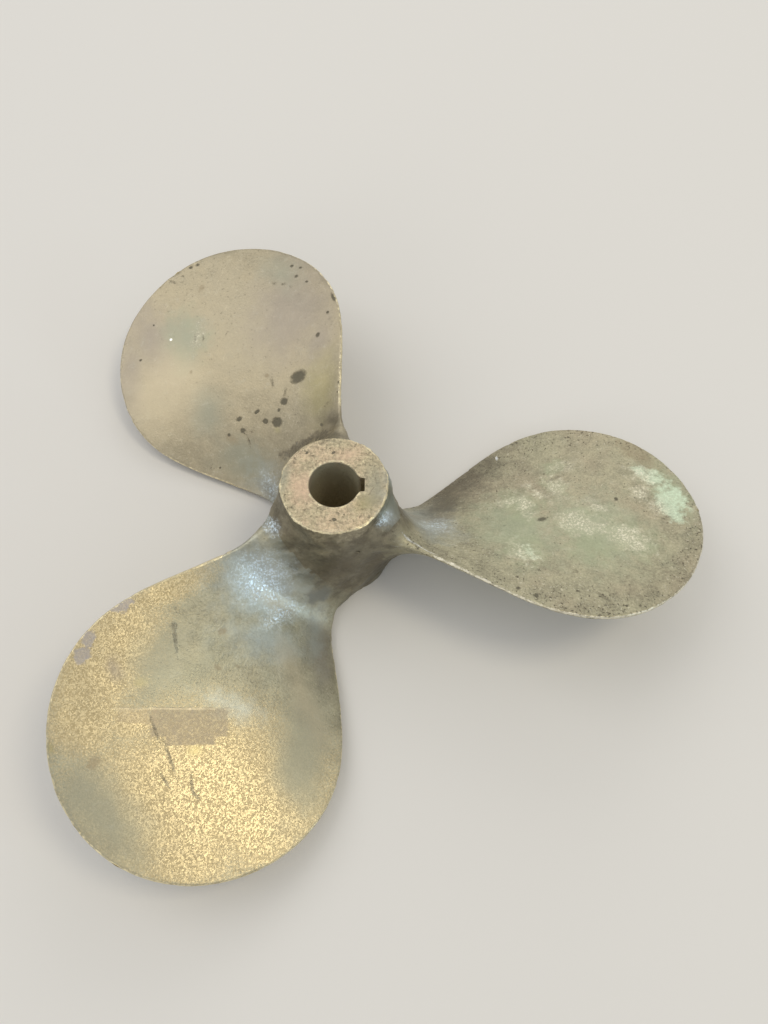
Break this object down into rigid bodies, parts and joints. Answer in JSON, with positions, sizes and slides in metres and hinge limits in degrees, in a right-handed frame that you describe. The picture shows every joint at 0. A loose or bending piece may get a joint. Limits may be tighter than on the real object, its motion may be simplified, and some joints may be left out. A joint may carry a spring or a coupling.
{
  "type": "boat propeller",
  "caption": "Left-hand bronze boat propeller cast in one piece, with broad rounded blades, a tapered shaft bore and a keyway.",
  "frame": {"origin": "the point on the shaft axis where the casting balances, inside the bore a little nearer the forward face than the aft face", "axes": "+Z along the shaft axis towards the small aft end of the hub, +X from the shaft axis through the keyway and along one blade"},
  "size_m": [0.2788, 0.3004, 0.0635],
  "materials": {
    "bronze": "weathered cast bronze with a grey-green patina, satin where it is worn bright"
  },
  "bodies": {
    "root": {"propeller_casting": "bronze"}
  },
  "joints": []
}
